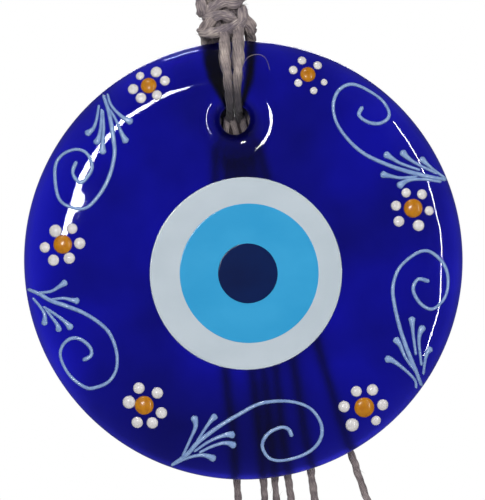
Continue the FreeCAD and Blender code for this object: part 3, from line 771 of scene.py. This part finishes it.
# %% Daisies
dot_white = enamel("dot_white", (0.56, 0.54, 0.545), (0.48, 0.46, 0.465))
dot_orange = enamel("dot_orange", (0.40, 0.155, 0.003), (0.33, 0.115, 0.002))
DAISIES = [
    ((-25.0, 58.6, 2.4), [(32, 4.6, 1.7), (77, 5.0, 1.5), (143, 3.8, 1.5),
                          (-145, 4.3, 1.6), (-99, 4.7, 1.6), (-38, 3.9, 1.3)]),
    ((22.6, 58.0, 2.3), [(-19, 4.5, 1.3), (50, 4.0, 1.3), (119, 5.3, 1.0),
                         (164, 5.1, 1.1), (-128, 3.8, 1.2), (-70, 4.5, 1.3)]),
    ((76.4, 52.3, 2.8), [(-21, 5.0, 1.4), (36, 4.9, 1.5), (102, 4.8, 1.4),
                         (166, 5.3, 1.7), (-129, 5.7, 1.6), (-78, 5.1, 1.5)]),
    ((144.0, 56.1, 3.0), [(-23, 5.3, 1.6), (28, 5.7, 1.7), (86, 5.5, 1.7),
                          (142, 5.3, 1.5), (-142, 6.3, 2.0), (-84, 6.0, 1.7)]),
    ((-142.2, 51.7, 2.8), [(-14, 5.3, 1.7), (50, 5.3, 1.7), (117, 5.5, 1.7),
                           (159, 5.7, 1.7), (-154, 5.5, 1.7), (-75, 4.6, 1.9)]),
    ((-81.5, 53.4, 2.8), [(-25, 4.5, 1.9), (34, 5.4, 1.6), (90, 5.0, 1.7),
                          (158, 4.5, 1.7), (-146, 5.4, 1.7), (-96, 5.4, 1.6)]),
]


def from_clock(clock, distance):
    angle = math.radians(clock)
    return distance * MM * math.sin(angle), distance * MM * math.cos(angle)


for place, ((clock, distance, radius), petals) in enumerate(DAISIES, start=1):
    u, v = from_clock(clock, distance)
    shape = bmesh.new()
    dot(shape, u, v, radius * MM, 1.15 * MM)
    mesh_piece("daisy_heart_%d" % place, [finished(shape, "heart")], dot_orange, "disc",
               ["daisy_centre_%d" % place])
    shape = bmesh.new()
    for petal_clock, petal_distance, petal_radius in petals:
        du, dv = from_clock(petal_clock, petal_distance)
        dot(shape, u + du, v + dv, petal_radius * MM, petal_radius * 0.55 * MM)
    mesh_piece("daisy_ring_%d" % place, [finished(shape, "petals")], dot_white, "disc",
               ["daisy_petals_%d" % place])

# %% [markdown]
# ### Scrolls
# A scroll starts on the rim at its clock angle. Its points are given in mm along the rim and in
# from it: first the stem, which winds up on itself, then the five drops that fan off its root.

# %% Scrolls
scroll_blue = enamel("scroll_blue", (0.20, 0.30, 0.49), (0.145, 0.225, 0.43))
SCROLLS = [
    (-36.8, 64.1,
     [(0, 0), (2.2, 5.5), (6.4, 12.6), (9.3, 16.2), (14.3, 19.8), (20.1, 22.0), (25.8, 22.2),
      (29.5, 17.6), (29.0, 13.3), (24.6, 7.2), (20.6, 5.8), (16.9, 7.0), (15.0, 9.4), (15.2, 12.4),
      (16.9, 14.9), (21.3, 15.9), (22.2, 14.2), (21.5, 11.7), (18.6, 10.0)],
     [[(-1.2, 0.5), (0.2, 4.1), (0.0, 8.5), (-1.3, 12.1)],
      [(1.2, 4.4), (2.0, 8.5), (3.3, 12.9), (3.8, 15.6)],
      [(2.9, 3.3), (5.8, 7.3), (8.9, 10.6), (11.5, 13.5)],
      [(3.0, 2.9), (6.4, 6.7), (9.0, 8.9), (11.2, 9.9)],
      [(2.8, 1.5), (6.0, 4.3), (8.8, 5.9), (11.6, 5.7)]]),
    (71.9, 64.6,
     [(0, 0), (3.9, 6.2), (9.6, 13.7), (16.9, 20.5), (25.0, 23.8), (31.1, 23.8), (35.4, 21.3),
      (36.9, 17.5), (35.4, 14.0), (30.0, 9.7), (25.9, 8.5), (23.4, 9.4), (22.8, 12.5),
      (24.4, 15.5), (27.3, 17.2), (29.3, 15.2)],
     [[(0.2, -0.1), (4.5, 2.7), (7.1, 4.1), (9.1, 4.9)],
      [(2.6, 1.8), (7.1, 6.1), (10.4, 8.5), (13.0, 9.5)],
      [(5.5, 6.3), (9.4, 10.9), (11.8, 12.8), (14.2, 14.5)],
      [(4.1, 7.7), (5.5, 12.4), (7.3, 15.4), (8.9, 17.8)],
      [(0.0, 1.6), (2.8, 6.6), (4.1, 11.0), (3.4, 14.5)]]),
    (128.7, 64.6,
     [(0, 0), (2.8, 4.3), (6.5, 10.2), (10.3, 15.4), (14.8, 20.5), (19.0, 24.1), (24.6, 25.8),
      (30.6, 24.4), (33.7, 21.6), (33.4, 16.3), (30.7, 12.4), (25.7, 9.8), (20.6, 10.7),
      (19.7, 14.5), (21.7, 18.7), (25.1, 19.4), (26.6, 16.2)],
     [[(-1.5, 1.0), (0.4, 3.0), (1.2, 7.7), (1.2, 11.9), (0.3, 14.0)],
      [(2.5, 4.1), (4.1, 8.9), (6.2, 12.5), (7.1, 15.2)],
      [(6.5, 6.9), (11.2, 11.3), (15.1, 14.6)],
      [(4.9, 3.7), (10.0, 8.3), (12.7, 9.8), (15.0, 10.1)],
      [(3.0, 1.7), (6.9, 3.8), (9.2, 4.6), (11.2, 4.3)]]),
    (-157.1, 64.4,
     [(0, 0), (3.4, 5.0), (5.4, 9.7), (9.6, 16.0), (13.8, 21.1), (18.1, 25.8), (23.1, 28.6),
      (28.6, 30.1), (33.5, 29.7), (37.3, 27.0), (38.9, 23.5), (38.3, 19.7), (35.6, 16.0),
      (30.8, 12.7), (27.0, 11.9), (24.2, 13.6), (23.2, 16.0), (24.1, 19.1), (26.8, 21.7),
      (29.1, 21.9), (30.9, 20.1)],
     [[(2.3, 3.8), (2.8, 9.2), (3.0, 13.7), (1.4, 16.4)],
      [(4.8, 9.1), (5.9, 13.9), (6.8, 17.0), (7.7, 18.9)],
      [(5.0, 6.3), (8.2, 10.7), (11.9, 14.0), (14.9, 15.2)],
      [(6.5, 6.5), (9.7, 9.8), (13.0, 12.0), (16.2, 12.1)],
      [(0.3, 0.3), (3.8, 3.9), (7.8, 6.3), (11.9, 6.4)]]),
    (-94.1, 64.4,
     [(0, 0), (1.8, 3.2), (4.3, 6.6), (6.4, 10.8), (8.9, 15.3), (11.8, 19.0), (15.2, 22.0),
      (19.2, 23.5), (23.7, 23.8), (27.7, 22.7), (30.4, 20.0), (31.5, 15.7), (30.9, 13.1),
      (27.7, 9.7), (24.0, 7.8), (20.5, 7.2), (17.9, 8.3), (16.3, 10.5), (16.3, 12.9),
      (17.8, 15.1), (20.0, 16.5), (22.0, 16.1), (23.0, 13.6)],
     [[(1.6, 3.2), (1.6, 7.0), (0.6, 9.5), (-0.7, 12.1)],
      [(4.0, 6.7), (4.1, 10.4), (4.9, 12.7), (5.6, 15.0)],
      [(5.7, 4.0), (8.5, 7.4), (11.3, 10.2), (13.5, 11.7)],
      [(6.4, 4.6), (9.8, 6.6), (12.0, 7.7), (13.8, 7.7)],
      [(2.7, 1.2), (5.9, 3.3), (8.4, 4.2), (11.4, 3.6)]]),
]


def stem_width(share):
    """A stem swells after its root, thins along its curl and ends in a small blob."""
    blob = 0.35 * max(0.0, 1 - abs(share - 0.985) / 0.03)
    return (1.0 + 0.35 * math.exp(-((share - 0.16) / 0.12) ** 2) + 0.08 * math.sin(share * 23)
            + blob) * MM


def drop_width(share):
    """A drop is thin where the nozzle left the stem and fat where it was let go."""
    return (0.8 + 0.25 * share + 1.9 * share ** 6) * MM


for place, (clock, root_distance, stem, drops) in enumerate(SCROLLS, start=1):
    u, v = from_clock(clock, root_distance)
    angle = math.radians(clock)
    along = Vector((-math.cos(angle), math.sin(angle)))
    inwards = Vector((-math.sin(angle), -math.cos(angle)))

    def on_disc(points):
        return [Vector((u, v)) + (along * a + inwards * b) * MM for a, b in points]

    for name, node, strokes, step, width_at, height in (
            ("scroll", "scroll_stem", [stem], 0.45, stem_width, 0.62),
            ("fan", "scroll_drops", drops, 0.4, drop_width, 0.75)):
        shape = bmesh.new()
        for stroke in strokes:
            bead(shape, rounded_path(on_disc(stroke), step * MM), width_at, height * MM)
        mesh_piece("%s_%d" % (name, place), [finished(shape, name)], scroll_blue, "disc",
                   ["%s_%d" % (node, place)])

# %% [markdown]
# ## The hanger
# Three cords are folded over the nail and bound under it. Their six legs run into a flat braid of
# square knots: one working cord always crosses in front, the other behind, and each wraps round the
# other at the sides. The braid hangs a little to the left of the sling that it carries.

# %% Hanging loop and its binding
loop_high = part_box("hanging_loop")[1]
wrap_low, wrap_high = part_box("loop_wrap")
LOOP_CORD = 2.2 * MM
half_eye = loop_high.x - LOOP_CORD / 2
eye_foot = wrap_high.z
for row in (-1, 0, 1):
    y = row * 2.35 * MM
    top = LOOP_CORD / 2
    lean = 0.25 * MM * row
    right = [
        (half_eye * 0.45 + lean, y, top),
        (half_eye + lean, y, top - half_eye * 0.45),
        (half_eye - lean, y, eye_foot / 2),
        (LOOP_CORD * 0.53, y, eye_foot + 4.9 * MM),
        (LOOP_CORD * 0.53, y, eye_foot),
        (LOOP_CORD * 0.53, y, wrap_low.z),
    ]
    left = [(-x + 2 * lean, y, z) for x, y, z in right[:2]] + [(-x, y, z) for x, y, z in right[2:]]
    line = chain(left[::-1] + right, 0.6 * MM)
    mesh_piece("loop_cord_%d" % (row + 2),
               cord_mesh(line, LOOP_CORD / 2, 20 + row, pitch=9 * MM, hairs=60), twine, "hanger",
               ["hanging_loop"])

WRAP_CORD = 1.2 * MM
WRAP_TURNS = 4
TURN_STEPS = 40
wrap_line = []
for step in range(WRAP_TURNS * TURN_STEPS + 1):
    angle = math.pi / 2 + 2 * math.pi * step / TURN_STEPS
    sunk = step / (WRAP_TURNS * TURN_STEPS)
    level = wrap_high.z - WRAP_CORD - (wrap_high.z - wrap_low.z - 2 * WRAP_CORD) * sunk
    across = abs(math.cos(angle)) ** 0.7 * math.copysign(1, math.cos(angle))
    deep = abs(math.sin(angle)) ** 0.7 * math.copysign(1, math.sin(angle))
    wrap_line.append(Vector(((wrap_high.x - WRAP_CORD) * across, (wrap_high.y - WRAP_CORD) * deep,
                             level)))
mesh_piece("binding", cord_mesh(even_line(wrap_line, 0.5 * MM), WRAP_CORD, 31, pitch=8 * MM, hairs=80),
           twine, "hanger", ["loop_wrap"])

# %% [markdown]
# ### Braid
# The bars on the front are the crossing cord; the upright lobes at the sides are the other cord,
# which comes round from behind and locks it.

# %% Braid
HALF_KNOTS = 12
fill_low, fill_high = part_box("filler_cords")
braid_top = fill_high.z
braid_foot = fill_low.z
pitch = (braid_top - braid_foot) / HALF_KNOTS


def braid_shift(z):
    """How far the braid has wandered to the left at a height."""
    share = min(max((braid_top - z) / (braid_top - braid_foot), 0), 1)
    return Vector((-1.95 * MM * share * share * (3 - 2 * share), 0, 0))


def shifted(points):
    return [Vector(point) + braid_shift(point[2]) for point in points]


crossing = []
locking = []
draw = random.Random(7)
for knot in range(HALF_KNOTS):
    side = -1 if knot % 2 else 1
    z = braid_top - (knot + 0.5) * pitch
    arch = draw.uniform(-0.25, 0.35) * MM
    slump = draw.uniform(-0.3, 0.3) * MM
    crossing += [(side * 5.0 * MM, -0.4 * MM, z + 0.42 * pitch),
                 (side * 4.0 * MM, -2.4 * MM, z + 0.14 * pitch),
                 (side * 0.6 * MM, -2.9 * MM, z + 0.34 * pitch + arch),
                 (-side * 3.6 * MM, -2.5 * MM, z - 0.08 * pitch + slump),
                 (-side * 5.0 * MM, -0.3 * MM, z - 0.38 * pitch)]
    locking += [(-side * 5.0 * MM, 2.2 * MM, z + 0.95 * pitch),
                (-side * 6.3 * MM, 0.0 * MM, z + 0.75 * pitch),
                (-side * 5.9 * MM, -2.5 * MM, z + 0.42 * pitch),
                (-side * 5.7 * MM, -2.5 * MM, z - 0.22 * pitch),
                (-side * 6.2 * MM, 0.2 * MM, z - 0.4 * pitch),
                (-side * 4.0 * MM, 2.5 * MM, z - 0.2 * pitch),
                (side * 1.5 * MM, 2.9 * MM, z - 0.1 * pitch + arch)]
knot_nodes = ["square_knot_%d" % (count + 1) for count in range(6)]
for name, points, seed in (("crossing_cord", crossing, 51), ("locking_cord", locking, 52)):
    points = [(x, y, min(z, braid_top - 1.9 * MM)) for x, y, z in points]
    line = chain(shifted(points), 0.5 * MM)
    mesh_piece(name, cord_mesh(line, 1.62 * MM, seed, pitch=26 * MM, hairs=560, soft=True), twine,
               "braid", knot_nodes)
fillers = []
for place in range(4):
    x = (place - 1.5) * 2.5 * MM
    points = shifted([(x, 0, braid_top - 1.5 * MM - (braid_top - braid_foot) * step / 8)
                      for step in range(9)])
    fillers += cord_mesh(chain(points, 0.8 * MM), 1.35 * MM, 60 + place, hairs=0, soft=True)
mesh_piece("filler_twine", fillers, twine, "braid", ["filler_cords"])
collar = [Vector((x * MM, y * MM, rim_top + z * MM)) for x, y, z in
          [(-5.2, 3.2, 4.4), (-7.6, 1.6, 3.6), (-8.3, -1.2, 3.2), (-6.6, -3.1, 2.5), (-3.6, -3.9, 2.5),
           (-0.4, -4.2, 3.2), (2.6, -3.6, 4.5), (4.1, -2.0, 5.4), (4.9, 0.6, 5.4)]]
mesh_piece("collar_cord", cord_mesh(chain(collar, 0.5 * MM), 1.6 * MM, 66, pitch=26 * MM, hairs=24,
                                    soft=True), twine, "braid")

# %% [markdown]
# ### Sling
# Two doubled strands come from under the braid, over the rim and down the front into the hole. The
# others go down the back, and all are tied in one hard knot behind it.

# %% Sling strands
# From 8 to 16.5 mm below the rim top the strands are painted darker: painted shade as they near the
# hole.
sling_twine = twine_finish("sling_twine", (0.07, 0.055, 0.07), (0.25, 0.205, 0.20),
                           (0.56, 0.48, 0.42), shade_span=(rim_top - 8 * MM, rim_top - 16.5 * MM))


def below_rim_top(points):
    """Points in mm, whose height is counted from the top of the rim."""
    return [Vector(point) * MM + Vector((0, 0, rim_top)) for point in points]


def sling_strand(name, points, radius, seed, node, taper=None):
    line = chain(below_rim_top(points), 0.5 * MM)
    piece = mesh_piece(name, cord_mesh(line, radius, seed, pitch=30 * MM, hairs=90, taper=taper,
                                       soft=True),
                       sling_twine, None, [node])
    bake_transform(piece)


def slimmer(share):
    """Full at the top, drawn tight at the hole."""
    return 1.0 - 0.27 * min(max((share - 0.25) / 0.35, 0), 1)


sling_strand("front_twine_left", [
    (-1.0, -0.9, 4.0), (-1.5, -3.0, 2.6), (-1.6, -5.6, 0.6), (-1.7, -7.0, -4.0), (-1.6, -6.9, -9.0),
    (-1.35, -6.5, -13.6), (-1.2, -5.3, -16.6), (-1.2, -3.2, -18.6), (-1.2, -0.4, -19.9),
    (-1.4, 5.6, -21.2), (-1.4, 8.2, -24.0)], 1.62 * MM, 71, "front_strand_left", slimmer)
sling_strand("front_twine_right", [
    (2.8, -0.9, 5.0), (2.6, -3.0, 3.2), (2.4, -5.6, 0.8), (2.2, -7.0, -4.0), (1.9, -6.9, -9.0),
    (1.3, -6.5, -13.6), (1.1, -5.3, -16.6), (1.1, -3.2, -18.6), (1.15, -0.4, -19.9),
    (1.4, 5.6, -21.2), (1.4, 8.2, -24.0)], 1.6 * MM, 72, "front_strand_right", slimmer)


STRAYS = [
    [(3.4, -7.9, -7.6), (4.3, -8.7, -5.9), (6.6, -9.0, -4.9), (9.3, -8.6, -5.2), (10.8, -7.7, -7.3),
     (11.1, -6.6, -9.6)],
    [(-3.0, -7.8, -1.5), (-3.7, -8.6, -4.5), (-3.3, -8.8, -8.0), (-2.2, -8.2, -11.5)],
    [(0.6, -8.3, -2.5), (0.1, -9.1, -5.0), (0.5, -9.0, -8.5), (1.6, -8.2, -12.0)],
]
strays = [smooth_line(below_rim_top(points)) for points in STRAYS]
mesh_piece("stray_fibres", [tubes(strays, [0.06 * MM] * len(strays), sides=1)], sling_twine, "sling")


def gathered(share):
    """Slack over the rim, tight at the knot."""
    return 1.4 - 0.5 * min(max((share - 0.3) / 0.4, 0), 1)


for place, (start, forward, end) in enumerate([(-7.3, -2.4, -3.1), (-4.4, 0.8, -1.05),
                                               (0.9, 0.8, 1.05), (6.3, -1.0, 3.1)]):
    sling_strand("back_twine_%d" % (place + 1), [
        (start * 0.66, forward, 6.8), (start * 0.96, forward, 4.4), (start, forward + 1.4, 3.2),
        (start * 0.98, 3.8, 2.8), (start * 0.96, 7.0, 0.9), (start * 0.94, 7.5, -3.5),
        (start * 0.88, 6.8, -9.0), (end * 1.2, 6.7, -15.0), (end, 8.2, -21.0),
        (end * 0.95, 9.8, -24.0)], 1.25 * MM, 80 + place, "back_strands", gathered)

# %% [markdown]
# ### Knot behind the hole
# Upright turns show through the hole; two level turns hold them together at the back.

# %% Sling knot
knot_low, knot_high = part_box("sling_knot")
# A near-black twine for the knot's core: painted shade in the gaps between the turns.
shade_twine = twine_finish("shaded_twine", (0.02, 0.015, 0.02), (0.04, 0.03, 0.035),
                           (0.07, 0.055, 0.055))
knot_middle = (knot_low + knot_high) / 2
knot_size = (knot_high - knot_low) / 2


def turn_round(centre, across, up, drift, radius, seed, hairs):
    """A closed turn of cord round the knot's middle, which drifts along as it goes round."""
    points = []
    for step in range(14):
        angle = 2 * math.pi * step / 14
        points.append(knot_middle + Vector(centre) + Vector(across) * math.cos(angle)
                      + Vector(up) * math.sin(angle) + Vector(drift) * math.sin(angle))
    return cord_mesh(chain(points, 0.5 * MM, closed=True), radius, seed, pitch=18 * MM, hairs=hairs,
                     soft=True)


knot_meshes = []
# (place from side to side, share of the knot's depth and of its height, drift), lengths in mm
UPRIGHT_TURNS = [
    (-5.2, 0.80, 0.86, 0.5),
    (-2.75, 0.97, 0.98, 0.3),
    (-0.1, 1.0, 1.0, -1.1),
    (2.6, 0.97, 0.98, -0.6),
    (5.1, 0.80, 0.86, -0.6),
]
for count, (x, deep, tall, slant) in enumerate(UPRIGHT_TURNS):
    knot_meshes += turn_round((x * MM, 0, 0), (0, (knot_size.y - 1.0 * MM) * deep, 0),
                              (0, 0, (knot_size.z - 1.0 * MM) * tall), (slant * MM, 0, 0),
                              0.88 * MM, 90 + count, 14)
for count, z in enumerate((-2.2, 1.0)):
    knot_meshes += turn_round((0, 1.7 * MM, z * MM), (knot_size.x - 1.3 * MM, 0, 0),
                              (0, knot_size.y - 2.3 * MM, 0), (0, 0, 0.6 * MM),
                              1.35 * MM, 96 + count, 18)
# The core is painted near-black: painted shade seen between the upright turns.
core = bmesh.new()
bmesh.ops.create_uvsphere(core, u_segments=24, v_segments=16, radius=1.0,
                          matrix=Matrix.Translation(knot_middle)
                          @ Matrix.Diagonal((*(knot_size * 0.72), 1)))
mesh_piece("knot_twine", knot_meshes, twine, "sling", ["sling_knot"])
mesh_piece("knot_heart", [finished(core, "core")], shade_twine, "sling", ["sling_knot"])

# %% [markdown]
# ## Room and light
# A white room. The world is white where the camera sees it, bare or through the glass, and gentle
# as a light. The floor is a pale disc far below, which fades into the white of the room. Two broad
# soft lamps in front light the twine and the enamel, and one behind lights the glass through. Strips
# draw the bright arcs on the shoulder of the glass: one in front, up to the left, a thin one at the
# right and a short one above.

# %% World and floor
bpy.context.scene.view_settings.view_transform = "Standard"
world = bpy.data.worlds.new("room")
bpy.context.scene.world = world
world.use_nodes = True
ray = add_node(world, "ShaderNodeLightPath")
seen = fed(world, "ShaderNodeMath", ray.outputs["Is Camera Ray"],
           ray.outputs["Is Transmission Ray"], operation="MAXIMUM")
level = add_node(world, "ShaderNodeMix", data_type="FLOAT")
level.inputs[2].default_value = 0.12
level.inputs[3].default_value = 1.0
wire(world, seen, level.inputs["Factor"])
background = world.node_tree.nodes["Background"]
background.inputs["Color"].default_value = (1, 1, 1, 1)
wire(world, level.outputs[0], background.inputs["Strength"])

FLOOR_DROP = 240 * MM
FLOOR_RADIUS = 1.6
floor_shape = bmesh.new()
bmesh.ops.create_circle(floor_shape, cap_ends=True, segments=96, radius=FLOOR_RADIUS)
bmesh.ops.translate(floor_shape, verts=floor_shape.verts, vec=(0, 0, cad_low.z - FLOOR_DROP))
floor_mesh = bpy.data.meshes.new("floor")
floor_shape.to_mesh(floor_mesh)
floor_shape.free()
floor = placed("floor", floor_mesh)
floor.visible_glossy = False
floor.visible_transmission = False
paper, paper_shader = new_finish("pale_paper", (0.86, 0.86, 0.86), 0.9)
grain = noise(paper, 60.0, 4.0)
bump(paper, paper_shader, grain.outputs["Fac"], 0.1, 0.2 * MM)
far = carried_over(paper, distance_from(paper, (0, 0, 0), (1, 1, 0)), 0.1, FLOOR_RADIUS * 0.9)
glow = add_node(paper, "ShaderNodeEmission")
watched = add_node(paper, "ShaderNodeLightPath")
far_white = fed(paper, "ShaderNodeMath", far, watched.outputs["Is Camera Ray"],
                operation="MULTIPLY")
mixed = fed(paper, "ShaderNodeMixShader", far_white, paper_shader.outputs["BSDF"],
            glow.outputs["Emission"])
wire(paper, mixed, paper.node_tree.nodes["Material Output"].inputs["Surface"])
floor_mesh.materials.append(paper)


# %% Lamps
def lamp(name, width, height, power, turned):
    """A rectangular soft lamp, placed by a matrix; it shines along its own -Z."""
    data = bpy.data.lights.new(name, "AREA")
    data.shape = "RECTANGLE"
    data.size = width
    data.size_y = height
    data.energy = power
    item = placed(name, data)
    item.matrix_world = turned
    return item


for name, place, width, height, power, mirrored in (
        ("key", (-0.5, -0.85, 0.5), 0.6, 0.6, 3.8, False),
        ("fill", (0.6, -0.9, 0.05), 0.6, 0.7, 2.6, False),
        ("back_soft", (0.0, 0.8, 0.5), 0.7, 0.7, 5.0, True),
        ("right_strip", (0.6, -0.72, -0.1), 0.03, 0.8, 2.2, True)):
    aimed = (disc_centre - Vector(place)).to_track_quat("-Z", "Y").to_matrix().to_4x4()
    lamp(name, width, height, power,
         Matrix.Translation(place) @ aimed).visible_glossy = mirrored
# Strips on a circle round the disc: clock angle, how far ahead and out, tilt, length, width, power
for name, clock, ahead, out, tilt, length, width, power in (
        ("upper_strip", -52, 1.0, 0.24, 90.0, 0.27, 0.13, 4.2),
        ("rim_strip", -13, 0.4, 0.85, 25.2011, 0.16, 0.06, 2.0)):
    lamp(name, length, width, power,
         Matrix.Translation(disc_centre) @ Matrix.Rotation(math.radians(clock), 4, "Y")
         @ Matrix.Translation((0, -ahead, out)) @ Matrix.Rotation(math.radians(tilt), 4, "X"))
